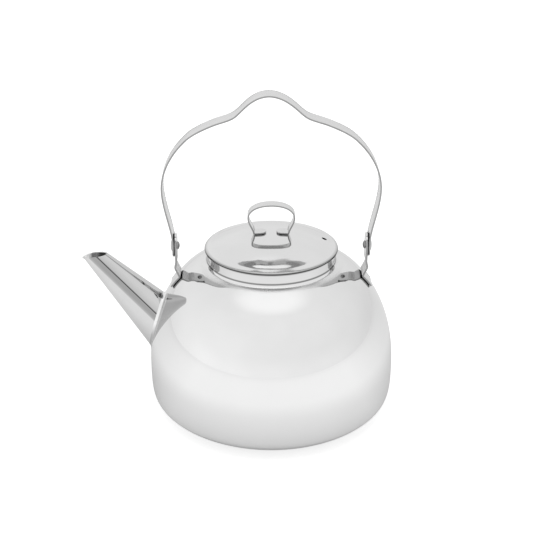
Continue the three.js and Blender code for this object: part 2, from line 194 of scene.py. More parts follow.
# painted reflection and painted shade on the spun sheet: a dark line at the foot of the neck is a painted
# reflection of the lid's rim, the neck is painted a little darker, and its top darker still with the shade
# under the lid's rim
shadeByHeight(spunSteel, [
    (98.1, 1.0), (98.4, 0.3), (98.9, 0.3), (99.3, 0.86), (103.6, 0.84), (104.0, 0.6), (104.4, 0.2),
    (105.1, 0.1)])
# the mop didn't get into the hollow at the foot of the neck
roughenByHeight(spunSteel, [(95.0, 0.0), (95.8, 0.2), (96.8, 0.2), (97.6, 0.0)])

# the same sheet pressed to the lid's dome, a little duller on its broad top
pressedSteel = polishedSteel("pressedMirrorStainless", {
    "colours": ["#EEEEEE", "#EAEAEA"], "roughness": [0.04, 0.09], "smearSize": 16, "lines": "turned",
    "lineSize": 0.8, "lineDepth": 0.0006, "rippleSize": 20, "ripple": 0.02})
# its rim is painted darker down to its sheared edge, a painted reflection of the dark gap under the rim
shadeByHeight(pressedSteel, [(105.0, 0.05), (105.45, 0.06), (105.8, 0.35), (106.1, 0.7), (106.6, 1.0)])

# rolled stainless strip, tumbled bright: nearly a mirror, with fine lines along its length
stripSteel = polishedSteel("tumbledStainlessStrip", {
    "colours": ["#E9E9E9", "#E2E2E2"], "roughness": [0.1, 0.2], "smearSize": 9, "lines": "along",
    "lineSize": 0.35, "lineDepth": 0.0008, "rippleSize": 12, "ripple": 0.012})

# sheared edges of the strip, only tumbled: a dull grey line round each face
edgeSteel = polishedSteel("shearedStainlessEdge", {
    "colours": ["#A9A9A9", "#979797"], "roughness": [0.3, 0.42], "smearSize": 3, "lines": "along",
    "lineSize": 0.25, "lineDepth": 0.002, "rippleSize": 5, "ripple": 0.01})

# faces that lie on another piece, painted dark as the shade in the gaps between them, so the joints read
# as dark lines
gapShadeSteel = polishedSteel("paintedGapShadeStainless", {
    "colours": ["#4A4A4A", "#3A3A3A"], "roughness": [0.4, 0.55], "smearSize": 3, "lines": "along",
    "lineSize": 0.4, "lineDepth": 0.001, "rippleSize": 5, "ripple": 0.01})

# cold-headed stainless rivets, barrel-polished
rivetSteel = polishedSteel("headedStainlessRivet", {
    "colours": ["#CFCFCF", "#BEBEBE"], "roughness": [0.12, 0.22], "smearSize": 3, "lines": "along",
    "lineSize": 0.4, "lineDepth": 0.001, "rippleSize": 4, "ripple": 0.006})

# inside walls, left as drawn: satin with plain turning rings
drawnSteel = polishedSteel("drawnSatinStainless", {
    "colours": ["#E4E4E4", "#DADADA"], "roughness": [0.26, 0.36], "smearSize": 12, "lines": "turned",
    "lineSize": 0.7, "lineDepth": 0.003, "rippleSize": 18, "ripple": 0.03})

# the ears' webs: a pale skin that scatters light, painted lighter than the strip so that their faces
# towards the neck read as lit
dulledSteel = polishedSteel("paintedPaleWebStainless", {
    "colours": ["#FFFFFF", "#F6F6F6"], "roughness": [0.5, 0.6], "smearSize": 5, "lines": "turned",
    "lineSize": 0.8, "lineDepth": 0.004, "rippleSize": 8, "ripple": 0.02, "metallic": 0.1})

# inside of the spout, the same pale skin that scatters light: pale at the lip, with painted shade that
# darkens it further in
boreSteel = polishedSteel("paintedShadeSpoutBore", {
    "colours": ["#FFFFFF", "#F8F8F8"], "roughness": [0.5, 0.6], "smearSize": 5, "lines": "turned",
    "lineSize": 0.8, "lineDepth": 0.004, "rippleSize": 8, "ripple": 0.02, "metallic": 0.1})
shadeAlong(boreSteel, placeAlong(boreSteel, "X"), [
    (-114.1, 1.0), (-109.5, 1.0), (-108.3, 0.28), (-105.6, 0.42), (-103.2, 0.08), (-98.0, 0.03)])

# weld round the spout's root, ground to a fillet and polished
weldSteel = polishedSteel("groundWeldStainless", {
    "colours": ["#F8F8F8", "#F0F0F0"], "roughness": [0.08, 0.16], "smearSize": 4, "lines": "turned",
    "lineSize": 1.2, "lineDepth": 0.002, "rippleSize": 5, "ripple": 0.02})
# painted shade under the spout: the weld is painted darker towards its low side
shadeByHeight(weldSteel, [(44.0, 0.5), (52.0, 0.55), (60.0, 1.0)])

print("materials ready")


# shared ways of working, with sizes in mm

sameSpot = 0.002  # corners nearer than this become one
drillDepth = 8.0


def deselectAll():
    if bpy.context.mode != "OBJECT":
        bpy.ops.object.mode_set(mode="OBJECT")
    bpy.ops.object.select_all(action="DESELECT")


def selectOnly(piece):
    deselectAll()
    piece.select_set(True)
    bpy.context.view_layer.objects.active = piece


def startFromPoint(name, place):
    # a plane drawn together to one corner, from which a line is then pulled
    deselectAll()
    bpy.ops.mesh.primitive_plane_add(size=mm(1), location=(0, 0, 0))
    piece = bpy.context.active_object
    piece.name = name
    piece.data.name = name
    bpy.ops.object.mode_set(mode="EDIT")
    bpy.ops.mesh.select_all(action="SELECT")
    bpy.ops.mesh.merge(type="CENTER")
    bpy.ops.transform.translate(value=[mm(v) for v in place])
    return piece


def pullOut(shift):
    bpy.ops.mesh.extrude_region_move(TRANSFORM_OT_translate={"value": [mm(v) for v in shift]})


def turnOutline(name, outline, sides):
    # outline runs from the axis round to the axis again, in mm of reach and height
    piece = startFromPoint(name, (outline[0][0], 0, outline[0][1]))
    for (reach, height), (nextReach, nextHeight) in zip(outline, outline[1:]):
        pullOut((nextReach - reach, 0, nextHeight - height))
    bpy.ops.mesh.select_all(action="SELECT")
    bpy.ops.mesh.spin(steps=sides, angle=2 * math.pi, center=(0, 0, 0), axis=(0, 0, 1))
    bpy.ops.mesh.select_all(action="SELECT")
    bpy.ops.mesh.remove_doubles(threshold=mm(sameSpot))
    bpy.ops.mesh.normals_make_consistent(inside=False)
    bpy.ops.object.mode_set(mode="OBJECT")
    return piece


def applyModifier(piece, kind, **settings):
    bpy.context.view_layer.objects.active = piece
    modifier = piece.modifiers.new(kind.title(), kind)
    for key, value in settings.items():
        setattr(modifier, key, value)
    bpy.ops.object.modifier_apply(modifier=modifier.name)


def cutAway(piece, cutter):
    applyModifier(piece, "BOOLEAN", operation="DIFFERENCE", solver="EXACT", object=cutter)
    mesh = cutter.data
    bpy.data.objects.remove(cutter)
    bpy.data.meshes.remove(mesh)


def drill(radius, place, turn=0):
    # a straight drill for cutAway, with its middle at a place and turned by degrees from upright
    deselectAll()
    bpy.ops.mesh.primitive_cylinder_add(vertices=48, radius=mm(radius), depth=mm(drillDepth),
                                        location=[mm(v) for v in place],
                                        rotation=(0, math.radians(turn), 0))
    bpy.ops.object.transform_apply()
    return bpy.context.active_object


def thicken(piece, sheet, edge):
    # the sheet's thickness goes inwards, and its cut edges are rounded
    applyModifier(piece, "SOLIDIFY", thickness=mm(sheet), offset=-1, use_even_offset=True)
    applyModifier(piece, "BEVEL", width=mm(edge), segments=3, limit_method="ANGLE",
                  angle_limit=math.radians(50))


def smoothFaces(piece, angle=35):
    selectOnly(piece)
    bpy.ops.object.shade_smooth_by_angle(angle=math.radians(angle))


def paintFaces(piece, materials, chooseSlot=None):
    piece.data.materials.clear()
    for steel in materials:
        piece.data.materials.append(steel)
    for face in piece.data.polygons:
        face.material_index = chooseSlot(face) if chooseSlot else 0


def finishPiece(piece, body, slotName, *nodes):
    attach(piece, body)
    if nodes:
        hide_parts(*nodes)
    spots = [vertex.co for vertex in piece.data.vertices]
    low = [round(min(spot[i] for spot in spots) * 1000, 2) for i in range(3)]
    high = [round(max(spot[i] for spot in spots) * 1000, 2) for i in range(3)]
    print(piece.name, "box mm", low, high, "faces", len(piece.data.polygons))


def curvePoints(start, curves, steps):
    # curves are (pull, pull, end) in mm, each drawn with its own number of steps
    points = [start]
    for (a, b, end), count in zip(curves, steps):
        first = points[-1]
        for step in range(1, count + 1):
            t = step / count
            u = 1 - t
            weights = (u ** 3, 3 * u * u * t, 3 * u * t * t, t ** 3)
            points.append(tuple(
                sum(w * spot[i] for w, spot in zip(weights, (first, a, b, end))) for i in (0, 1)))
    return points


def offsetPoints(points, distance):
    # the same line moved to its left
    moved = []
    for i, spot in enumerate(points):
        before = Vector(points[max(i - 1, 0)])
        after = Vector(points[min(i + 1, len(points) - 1)])
        along = (after - before).normalized()
        moved.append((spot[0] - along.y * distance, spot[1] + along.x * distance))
    return moved


# pot

potShape = {
    "baseReach": 52.0,
    "sideCurves": [
        ((59.62, 0.0), (68.85, 4.587), (72.559, 9.331)),  # heel
        ((75.12, 12.6), (75.1, 19.5), (75.1, 30.1)),  # belly up to its widest
        ((75.1, 54.112), (68.234, 70.987), (57.968, 84.127)),  # belly to shoulder
        ((53.04, 90.434), (45.71, 94.63), (40.836, 96.8)),  # shoulder to neck
    ],
    "sideSteps": [16, 20, 44, 18],
    "neckReach": 38.7,
    "neckFillet": 3.6,
    "filletSteps": 10,
    "neckRootTurn": 24,  # degrees below level where the shoulder meets the fillet
    "neckTop": 105.1,
    "shoulder": (40.0, 96.0),  # heights between which the side leans in
    "wall": 1.0,
    "rimSteps": 8,
    "sides": 180,
}


def potSide():
    side = curvePoints((potShape["baseReach"], 0), potShape["sideCurves"], potShape["sideSteps"])
    bend = potShape["neckFillet"]
    turn = math.radians(potShape["neckRootTurn"])
    centre = (potShape["neckReach"] + bend, side[-1][1] + bend * math.cos(turn))
    steps = potShape["filletSteps"]
    for step in range(1, steps + 1):
        angle = math.radians(270) - turn - (math.radians(90) - turn) * step / steps
        side.append((centre[0] + bend * math.cos(angle), centre[1] + bend * math.sin(angle)))
    for share in (0.25, 0.5, 0.75):
        side.append((potShape["neckReach"], side[-1][1] * (1 - share) + potShape["neckTop"] * share))
    return side


def potReachAt(height):
    side = potSide()
    for (reach, low), (nextReach, high) in zip(side, side[1:]):
        if low <= height <= high:
            return reach + (nextReach - reach) * (height - low) / max(high - low, 1e-9)
    return potShape["neckReach"]


def axisPoints(reach, height, count):
    # even steps from the axis out to a reach, so that the flat has rings too
    return [(reach * step / count, height) for step in range(count)]


side = potSide()
inside = offsetPoints(side, potShape["wall"])
rimRadius = potShape["wall"] / 2
rimMiddle = (potShape["neckReach"] - rimRadius, potShape["neckTop"] - rimRadius)
rim = []
for step in range(1, potShape["rimSteps"]):
    angle = math.radians(180 * step / potShape["rimSteps"])
    rim.append((rimMiddle[0] + rimRadius * math.cos(angle), rimMiddle[1] + rimRadius * math.sin(angle)))
outline = axisPoints(potShape["baseReach"], 0, 12) + side + rim
insideReach = inside[0][0]
outline += list(reversed(inside[::2])) + list(reversed(axisPoints(insideReach, potShape["wall"], 8)))
pot = turnOutline("polishedPot", outline, potShape["sides"])
print("pot turned")


# spout

spoutShape = {
    "root": (-58.0, 45.7),  # the middle line's inner end, as x and z
    "mouth": (-103.9, 97.1),
    "rootHalves": (17.9, 14.5),  # tall and wide
    "mouthHalves": (6.9, 4.8),
    "wall": 0.9,
    "edge": 0.22,
    "rootGap": 0.15,  # between the cut root and the pot
    "mouthTilt": 7.5,  # degrees that the cut mouth drops towards its lip
    "spare": 2.0,  # of the cone, past the mouth's low end, before it is cut
    "lipLength": 3.6,
    "lipOut": 0.74,
    "lipDown": 1.8,
    "sides": 144,
    "rings": 60,
    "reflectionLineTurn": 289,  # degrees round the cone, from its upper side over the back
}

spoutLength = math.dist(spoutShape["root"], spoutShape["mouth"])
spoutAlong = Vector((spoutShape["mouth"][0] - spoutShape["root"][0], 0,
                     spoutShape["mouth"][1] - spoutShape["root"][1])) / spoutLength
spoutTall = Vector((spoutAlong.z, 0, -spoutAlong.x))
cutSlope = math.atan2(spoutAlong.z, -spoutAlong.x) + math.radians(spoutShape["mouthTilt"])
spoutReach = spoutLength + 2 * spoutShape["mouthHalves"][0] / math.tan(cutSlope)


def spoutHalves(along):
    share = along / spoutLength
    return [a + (b - a) * share for a, b in zip(spoutShape["rootHalves"], spoutShape["mouthHalves"])]


def spoutPoint(turn, along):
    tall, wide = spoutHalves(along)
    root = Vector((spoutShape["root"][0], 0, spoutShape["root"][1]))
    return (root + spoutAlong * along + spoutTall * math.cos(turn) * tall
            + Vector((0, 1, 0)) * math.sin(turn) * wide)


def coneBlank(name, inset, sides, rings, capped):
    # an upright oval ring drawn out to a cone, then laid at the spout's slant
    reach = spoutReach + spoutShape["spare"]
    deselectAll()
    bpy.ops.mesh.primitive_circle_add(vertices=sides, radius=mm(1), location=(0, 0, 0))
    cone = bpy.context.active_object
    cone.name = name
    cone.data.name = name
    bpy.ops.object.mode_set(mode="EDIT")
    bpy.ops.mesh.select_all(action="SELECT")
    halves = [half - inset for half in spoutHalves(0)]
    bpy.ops.transform.resize(value=(halves[0], halves[1], 1), center_override=(0, 0, 0))
    if capped:
        bpy.ops.mesh.edge_face_add()
    for ring in range(1, rings + 1):
        nextHalves = [half - inset for half in spoutHalves(reach * ring / rings)]
        if capped:
            pullOut((0, 0, reach / rings))
        else:
            bpy.ops.mesh.extrude_edges_move(TRANSFORM_OT_translate={"value": (0, 0, mm(reach / rings))})
        ratios = [new / old for new, old in zip(nextHalves, halves)]
        bpy.ops.transform.resize(value=(ratios[0], ratios[1], 1), center_override=(0, 0, 0))
        halves = nextHalves
    bpy.ops.mesh.select_all(action="SELECT")
    bpy.ops.mesh.normals_make_consistent(inside=False)
    shape = bmesh.from_edit_mesh(cone.data)
    shape.faces.ensure_lookup_table()
    wall = min(shape.faces, key=lambda face: abs(face.normal.z))
    if wall.normal.dot(wall.calc_center_median() * Vector((1, 1, 0))) < 0:
        bpy.ops.mesh.flip_normals()
    bpy.ops.object.mode_set(mode="OBJECT")
    cone.location = (mm(spoutShape["root"][0]), 0, mm(spoutShape["root"][1]))
    cone.rotation_euler = (0, math.atan2(spoutAlong.x, spoutAlong.z), 0)
    bpy.ops.object.transform_apply()
    return cone


cutAway(pot, coneBlank("spoutHole", spoutShape["wall"], 96, 3, True))
smoothFaces(pot)


def potSlot(face):
    centre = face.center * 1000
    reach = math.hypot(centre.x, centre.y)
    outwards = face.normal.x * centre.x + face.normal.y * centre.y
    if centre.z < 3:
        return 0 if face.normal.z < 0 or outwards > 0.5 * reach else 1
    if reach > potReachAt(centre.z) - potShape["wall"] / 2:
        return 0
    return 1


paintFaces(pot, [spunSteel, drawnSteel], potSlot)
finishPiece(pot, "kettle", "pot_steel", "pot_body")

spout = coneBlank("conicalSpout", 0, spoutShape["sides"], spoutShape["rings"], False)
deselectAll()
bpy.context.view_layer.objects.active = spout
bpy.ops.object.mode_set(mode="EDIT")
bpy.ops.mesh.select_all(action="SELECT")
tilt = math.radians(spoutShape["mouthTilt"])
mouthEdge = spoutPoint(0, spoutLength)
bpy.ops.mesh.bisect(plane_co=[mm(v) for v in mouthEdge], plane_no=(-math.sin(tilt), 0, math.cos(tilt)),
                    clear_outer=True)
bpy.ops.object.mode_set(mode="OBJECT")
thicken(spout, spoutShape["wall"], spoutShape["edge"])
blockOutline = axisPoints(potShape["baseReach"], 0, 2) + offsetPoints(side, -spoutShape["rootGap"])
blockOutline += [(0, blockOutline[-1][1])]
cutAway(spout, turnOutline("potBlock", blockOutline, potShape["sides"]))


def spoutLocal(spot):
    # along the middle line, and the turn round it
    fromRoot = spot * 1000 - Vector((spoutShape["root"][0], 0, spoutShape["root"][1]))
    along = fromRoot.dot(spoutAlong)
    tall, wide = spoutHalves(along)
    across, aside = fromRoot.dot(spoutTall), fromRoot.y
    return along, math.atan2(aside / wide, across / tall), math.hypot(aside / wide, across / tall), wide


# the mouth's low end is pressed out and down to a lip
for vertex in spout.data.vertices:
    along, turn, share, wide = spoutLocal(vertex.co)
    lip = max(0, along - spoutReach + spoutShape["lipLength"]) / spoutShape["lipLength"]
    press = (lip * max(0, -math.cos(turn) * share)) ** 2
    vertex.co.x -= mm(spoutShape["lipOut"] * press)
    vertex.co.z -= mm(spoutShape["lipDown"] * press)
smoothFaces(spout)
print("spout drawn")


def spoutSlot(face):
    along, turn, share, wide = spoutLocal(face.center)
    outward = (face.normal.dot(spoutTall) * math.cos(turn) + face.normal.y * math.sin(turn))
    return 1 if share < 1 - 0.5 * spoutShape["wall"] / wide and outward < 0.2 else 0


# the line along the cone where a painted reflection lies: how far each spot lies above it, in metres along
# the skin
bandDistance = spout.data.attributes.new("reflectionLineDistance", "FLOAT", "POINT")
reflectionLineTurn = math.radians(spoutShape["reflectionLineTurn"])
for vertex in spout.data.vertices:
    along, turn, share, wide = spoutLocal(vertex.co)
    swing = (turn - reflectionLineTurn + math.pi) % (2 * math.pi) - math.pi
    reach = math.hypot(spoutHalves(along)[0] * math.sin(reflectionLineTurn), wide * math.cos(reflectionLineTurn))
    bandDistance.data[vertex.index].value = mm(swing * reach)

# rolled stainless cone, mop-polished, with a painted reflection: a fine dark line and a darker band on its
# lower side
coneSteel = polishedSteel("rolledConeStainless", {
    "colours": ["#DCDCDC", "#D4D4D4"], "roughness": [0.05, 0.1], "smearSize": 14, "lines": "along",
    "lineSize": 0.9, "lineDepth": 0.0006, "rippleSize": 18, "ripple": 0.02})
distance = addNode(coneSteel.node_tree, "ShaderNodeAttribute", attribute_name="reflectionLineDistance")
shadeAlong(coneSteel, distance.outputs["Fac"], [
    (-4.4, 1.0), (-3.7, 0.66), (-2.6, 0.54), (-1.3, 0.55), (-0.45, 0.6), (-0.22, 0.1), (0.2, 0.1),
    (0.45, 0.7), (1.0, 0.84), (2.6, 0.92), (4.4, 1.0)])

paintFaces(spout, [coneSteel, boreSteel], spoutSlot)
finishPiece(spout, "kettle", "spout_steel", "spout")

# weld: a hollow fillet that follows the line where the cone meets the pot

weldShape = {
    "reach": 2.0,
    "sink": 0.15,  # its edges go into the two skins
    "rootSink": 0.3,
    "proud": 0.02,
    "steps": 8,
    "sides": 160,
}


def meetingAlong(turn):
    low, high = 0.0, spoutLength
    for _ in range(40):
        middle = (low + high) / 2
        spot = spoutPoint(turn, middle)
        if math.hypot(spot.x, spot.y) < potReachAt(spot.z):
            low = middle
        else:
            high = middle
    return high


def potNormal(spot):
    step = 0.5
    slope = (potReachAt(spot.z + step) - potReachAt(spot.z - step)) / (2 * step)
    return Vector((spot.x, spot.y, -slope * math.hypot(spot.x, spot.y))).normalized()


def weldSection(turn):
    along = meetingAlong(turn)
    corner = spoutPoint(turn, along)
    upper = spoutPoint(turn, along + weldShape["reach"])
    normal = potNormal(corner)
    around = spoutPoint(turn + 0.01, along) - spoutPoint(turn - 0.01, along)
    skin = around.cross(upper - corner).normalized()
    if skin.dot(corner - spoutPoint(turn + math.pi, along)) < 0:
        skin = -skin
    away = (skin - normal * skin.dot(normal)).normalized()
    lower = corner + away * weldShape["reach"]
    fit = potReachAt(lower.z) / math.hypot(lower.x, lower.y)
    lower = Vector((lower.x * fit, lower.y * fit, lower.z))
    between = (skin + normal).normalized()
    section = [upper - skin * weldShape["sink"]]
    for step in range(weldShape["steps"] + 1):
        t = step / weldShape["steps"]
        section.append(upper * (1 - t) ** 2 + corner * 2 * t * (1 - t) + lower * t ** 2
                       + between * weldShape["proud"])
    section += [lower - normal * weldShape["sink"], corner - between * weldShape["rootSink"]]
    return section


# a torus gives the faces, and its corners are then moved to the sections
sections = [weldSection(2 * math.pi * i / weldShape["sides"]) for i in range(weldShape["sides"])]
deselectAll()
bpy.ops.mesh.primitive_torus_add(major_segments=weldShape["sides"], minor_segments=len(sections[0]),
                                 major_radius=mm(16), minor_radius=mm(1), location=(0, 0, 0))
weld = bpy.context.active_object
weld.name = "spoutWeld"
weld.data.name = "spoutWeld"
for i, section in enumerate(sections):
    for j, spot in enumerate(section):
        weld.data.vertices[i * len(section) + j].co = spot / 1000
bpy.ops.object.mode_set(mode="EDIT")
bpy.ops.mesh.select_all(action="SELECT")
bpy.ops.mesh.normals_make_consistent(inside=False)
bpy.ops.object.mode_set(mode="OBJECT")
smoothFaces(weld, 50)
paintFaces(weld, [weldSteel])
finishPiece(weld, "kettle", "spout_steel")
print("spout welded on")


# strips: bail, ears and knob

def bendStrip(name, rows, sheet, edge):
    # rows are (x, z, half width) along the strip's outer face; the sheet's thickness lies to the left
    x, z, half = rows[0]
    strip = startFromPoint(name, (x, -half, z))
    pullOut((0, 2 * half, 0))
    bpy.ops.mesh.select_all(action="SELECT")
    for nextX, nextZ, nextHalf in rows[1:]:
        pullOut((nextX - x, 0, nextZ - z))
        if abs(nextHalf - half) > 1e-6:
            bpy.ops.transform.resize(value=(1, nextHalf / half, 1), center_override=(0, 0, 0))
        x, z, half = nextX, nextZ, nextHalf
    bpy.ops.mesh.select_all(action="SELECT")
    bpy.ops.mesh.normals_make_consistent(inside=False)
    shape = bmesh.from_edit_mesh(strip.data)
    shape.faces.ensure_lookup_table()
    middle = shape.faces[len(shape.faces) // 2]
    rowsAlong = sorted(rows, key=lambda row: math.dist(row[:2], (middle.calc_center_median() * 1000).xz))
    spots = sorted(rows.index(row) for row in rowsAlong[:2])
    along = Vector((rows[spots[1]][0] - rows[spots[0]][0], 0, rows[spots[1]][1] - rows[spots[0]][1]))
    if middle.normal.dot(Vector((along.z, 0, -along.x))) < 0:
        bpy.ops.mesh.flip_normals()
    bpy.ops.object.mode_set(mode="OBJECT")
    thicken(strip, sheet, edge)
    return strip


def roundEnd(radius, count):
    # (distance from the end, half width) down a round end
    steps = [math.radians(90 * (i + 1) / count) for i in range(count)]
    return [(radius * (1 - math.cos(a)), radius * math.sin(a)) for a in steps]


def pointAt(points, lengths, distance):
    for i in range(len(points) - 1):
        if lengths[i + 1] >= distance or i == len(points) - 2:
            share = (distance - lengths[i]) / max(lengths[i + 1] - lengths[i], 1e-9)
            share = min(max(share, 0), 1)
            return tuple(a + (b - a) * share for a, b in zip(points[i], points[i + 1]))


def stripRows(points, half, spacing, startRound, endRound):
    # even rows along the line, closer and narrower where an end is round
    lengths = [0]
    for a, b in zip(points, points[1:]):
        lengths.append(lengths[-1] + math.dist(a, b))
    whole = lengths[-1]
    spots = []
    low, high = 0.0, whole
    if startRound:
        spots += roundEnd(half, 14)
        low = half
    else:
        spots.append((0.0, half))
    if endRound:
        high = whole - half
    count = max(2, round((high - low) / spacing))
    spots += [(low + (high - low) * i / count, half) for i in range(1, count)]
    if endRound:
        spots += [(whole - distance, width) for distance, width in reversed(roundEnd(half, 14))]
    else:
        spots.append((whole, half))
    return [(*pointAt(points, lengths, distance), width) for distance, width in spots]


def edgeSlot(face):
    return 1 if abs(face.normal.y) > 0.8 else 0


def bailSlot(face):
    # the bail's ends lie on the ears, and get the painted shade of the gap between them
    inwards = -face.normal.x * math.copysign(1, face.center.x)
    return 2 if inwards > 0.5 and face.center.z < mm(bailShape["lapTop"]) else edgeSlot(face)


def earSlot(face):
    # the bail lies on the tab, the crease and the foot lie on the shoulder, and the web faces the neck:
    # the faces lying on other pieces get the painted gap shade, and the web's faces towards the neck get
    # the pale painted skin
    height = face.center.z * 1000
    if abs(face.normal.y) < 0.4 and face.normal.x < -0.2:
        if height < earShape["creaseTop"] and face.normal.z < 0.15:
            return 2
        if height < earShape["webTop"]:
            return 3
    lapFoot, lapTop = earShape["lap"]
    return 2 if face.normal.x > 0.5 and lapFoot < height < lapTop else edgeSlot(face)


def rivetHole(reach):
    return drill(bailShape["holeRadius"], (reach, 0, bailShape["rivetHeight"]), 90)


bailShape = {
    "start": (59.15, 99.75),
    "armTop": (59.15, 110.42),
    "curves": [
        ((59.15, 118.431), (64.6, 132.663), (64.6, 143.973)),
        ((64.6, 156.037), (57.817, 166.782), (50.776, 173.568)),
        ((47.352, 177.338), (41.602, 180.354), (34.303, 183.37)),
        ((29.005, 185.632), (24.419, 186.197), (20.995, 188.459)),
        ((16.602, 191.381), (10.788, 200.523), (0.0, 200.9)),
    ],
    "half": 6.2,
    "sheet": 1.0,
    "edge": 0.28,
    "crownShift": -1.4,  # the bent crown stands a little towards the spout
    "lapTop": 114.2,  # where the ends stop lying on the ears
    "rivetHeight": 106.65,
    "holeRadius": 1.8,
    "rise": 94.25,  # from the rivets up to the crown
}

right = [bailShape["start"]] + curvePoints(bailShape["armTop"], bailShape["curves"], [24, 24, 16, 12, 20])
path = right + [(-x, z) for x, z in reversed(right[:-1])]
path = [(x + bailShape["crownShift"] * (max(0, z - bailShape["rivetHeight"]) / bailShape["rise"]) ** 6, z)
        for x, z in path]
bail = bendStrip("bailStrip", stripRows(path, bailShape["half"], 1.0, True, True), bailShape["sheet"],
                 bailShape["edge"])
for direction in (-1, 1):
    cutAway(bail, rivetHole(direction * (bailShape["start"][0] - bailShape["sheet"] / 2)))
smoothFaces(bail)
paintFaces(bail, [stripSteel, edgeSteel, gapShadeSteel], bailSlot)
finishPiece(bail, "bail", "bail_steel", "bail_handle")
print("bail bent")

earShape = {
    "face": 56.55,  # side that looks at the axis
    "top": 114.15,
    "webRise": 6.3,
    "elbowOut": 0.9,  # the tab's lower end is bent out to the elbow
    "elbowRise": 2.7,
    "crease": 54.3,
    "foot": 60.5,
    "footGap": 0.16,
    "bend": 1.3,
    "half": 6.2,
    "sheet": 1.1,
    "edge": 0.25,
    "creaseTop": 90.6,
    "webTop": 100.0,
    "lap": (99.5, 113.9),  # heights between which the bail lies on the tab
}


def roundCorners(corners, bend, steps=8):
    line = [corners[0]]
    for before, corner, after in zip(corners, corners[1:], corners[2:]):
        middle = Vector(corner)
        start = middle + (Vector(before) - middle).normalized() * bend
        end = middle + (Vector(after) - middle).normalized() * bend
        for i in range(steps + 1):
            t = i / steps
            line.append(tuple(start * (1 - t) ** 2 + middle * 2 * t * (1 - t) + end * t * t))
    return line + [corners[-1]]


def shoulderLine(start, end, gap):
    # the pot's shoulder from one reach out to another, raised by a gap
    low, high = potShape["shoulder"]
    raised = [spot for spot in reversed(offsetPoints(side, -gap)) if low < spot[1] < high]
    return [spot for spot in raised if start <= spot[0] <= end]


footLine = shoulderLine(earShape["crease"], earShape["foot"], earShape["footGap"])
crease = footLine[0]
flat = [spot for spot in footLine if math.dist(spot, crease) > 1.1 * earShape["bend"]]
elbow = (earShape["face"] + earShape["elbowOut"], crease[1] + earShape["webRise"])
bendTop = (earShape["face"], elbow[1] + earShape["elbowRise"])
earLine = roundCorners([(earShape["face"], earShape["top"]), bendTop, elbow, crease, flat[0]],
                       earShape["bend"]) + flat[1:]
rightEar = bendStrip("rightEar", stripRows(earLine, earShape["half"], 0.5, True, False), earShape["sheet"],
                     earShape["edge"])
cutAway(rightEar, rivetHole(earShape["face"] + earShape["sheet"] / 2))
smoothFaces(rightEar)
paintFaces(rightEar, [stripSteel, edgeSteel, gapShadeSteel, dulledSteel], earSlot)

rivetShape = {
    "innerSeat": 56.35,
    "innerHead": (2.5, 1.4),  # radius and height
    "shank": 1.6,
    "outerSeat": 59.35,
    "outerHead": (3.6, 1.1),
}


def headLine(radius, height, seat, direction, steps=12):
    return [(radius * math.sin(math.radians(90 * i / steps)),
             seat + direction * height * math.cos(math.radians(90 * i / steps))) for i in range(steps + 1)]


outline = headLine(*rivetShape["innerHead"], rivetShape["innerSeat"], -1)
outline += [(rivetShape["shank"], rivetShape["innerSeat"]), (rivetShape["shank"], rivetShape["outerSeat"])]
outline += list(reversed(headLine(*rivetShape["outerHead"], rivetShape["outerSeat"], 1)))
rightRivet = turnOutline("rightRivet", outline, 48)
rightRivet.rotation_euler = (0, math.radians(90), 0)
rightRivet.location = (0, 0, mm(bailShape["rivetHeight"]))
selectOnly(rightRivet)
bpy.ops.object.transform_apply()
smoothFaces(rightRivet, 40)
# the inner heads are hammered over and left dull
paintFaces(rightRivet, [rivetSteel, edgeSteel], lambda face: face.center.x < mm(rivetShape["innerSeat"]))


def turnedCopy(piece, name):
    # the same fitting at the other side, with a mesh of its own
    copy = piece.copy()
    copy.data = piece.data.copy()
    copy.name = name
    copy.data.name = name
    bpy.context.scene.collection.objects.link(copy)
    copy.data.transform(Matrix.Rotation(math.pi, 4, "Z"))
    return copy


finishPiece(turnedCopy(rightEar, "leftEar"), "kettle", "fitting_steel", "ear_left")
finishPiece(rightEar, "kettle", "fitting_steel", "ear_right")
finishPiece(turnedCopy(rightRivet, "leftRivet"), "kettle", "rivet_steel", "rivet_left")
finishPiece(rightRivet, "kettle", "rivet_steel", "rivet_right")
print("ears riveted")


# lid

lidShape = {
    "top": 114.882,
    "domeCurve": ((19.241, 114.882), (24.583, 112.4), (38.95, 106.272)),
    "borderSlopes": [  # degrees below level where a shallow bead was pressed beside the rim
        (29.0, 21.5), (30.4, 21.7), (33.8, 24.3), (34.9, 24.8), (35.8, 23.9), (36.5, 20.2), (37.0, 19.5),
        (38.95, 19.6)],
    "reach": 40.15,
    "rimTurn": 1.2,
    "sheet": 0.9,
    "edgeRound": 0.12,
    "skin": 0.4,  # depth at which the dome's underside begins
    "vent": (32.0, 3.0),
    "ventRadius": 1.5,
    "sides": 180,
    "ringReach": 37.1,
    "ringSheet": 0.8,
    "ringFoot": 94.1,
    "ringLand": 4.0,
    "ringBend": 0.9,
    "seatGap": 0.3,  # over the ring and under the knob's feet
}


def pressBorder(line, slopes):
    # redraws the line's outer part from its slopes in degrees at given reaches
    first = next(i for i, spot in enumerate(line) if spot[0] > slopes[0][0])
    line = line[:first]
    steps = 44
    start = line[-1][0]
    for i in range(1, steps + 1):
        reach = start + (slopes[-1][0] - start) * i / steps
        middle = (reach + line[-1][0]) / 2
        near, far = next((a, b) for a, b in zip(slopes, slopes[1:]) if middle <= b[0])
        share = max(0, (middle - near[0]) / (far[0] - near[0]))
        slope = near[1] + (far[1] - near[1]) * (3 - 2 * share) * share ** 2
        line.append((reach, line[-1][1] - (reach - line[-1][0]) * math.tan(math.radians(slope))))
    return line


domeLine = pressBorder(curvePoints((0.0, lidShape["top"]), [lidShape["domeCurve"]], [40]),
                       lidShape["borderSlopes"])


def domeAt(reach, lift=0.0):
    # height of the dome at a reach, on the line moved outwards by lift
    line = offsetPoints(domeLine, lift)
    for (near, high), (far, low) in zip(line, line[1:]):
        if reach <= far or (far, low) == line[-1]:
            return high + (low - high) * (reach - near) / (far - near)


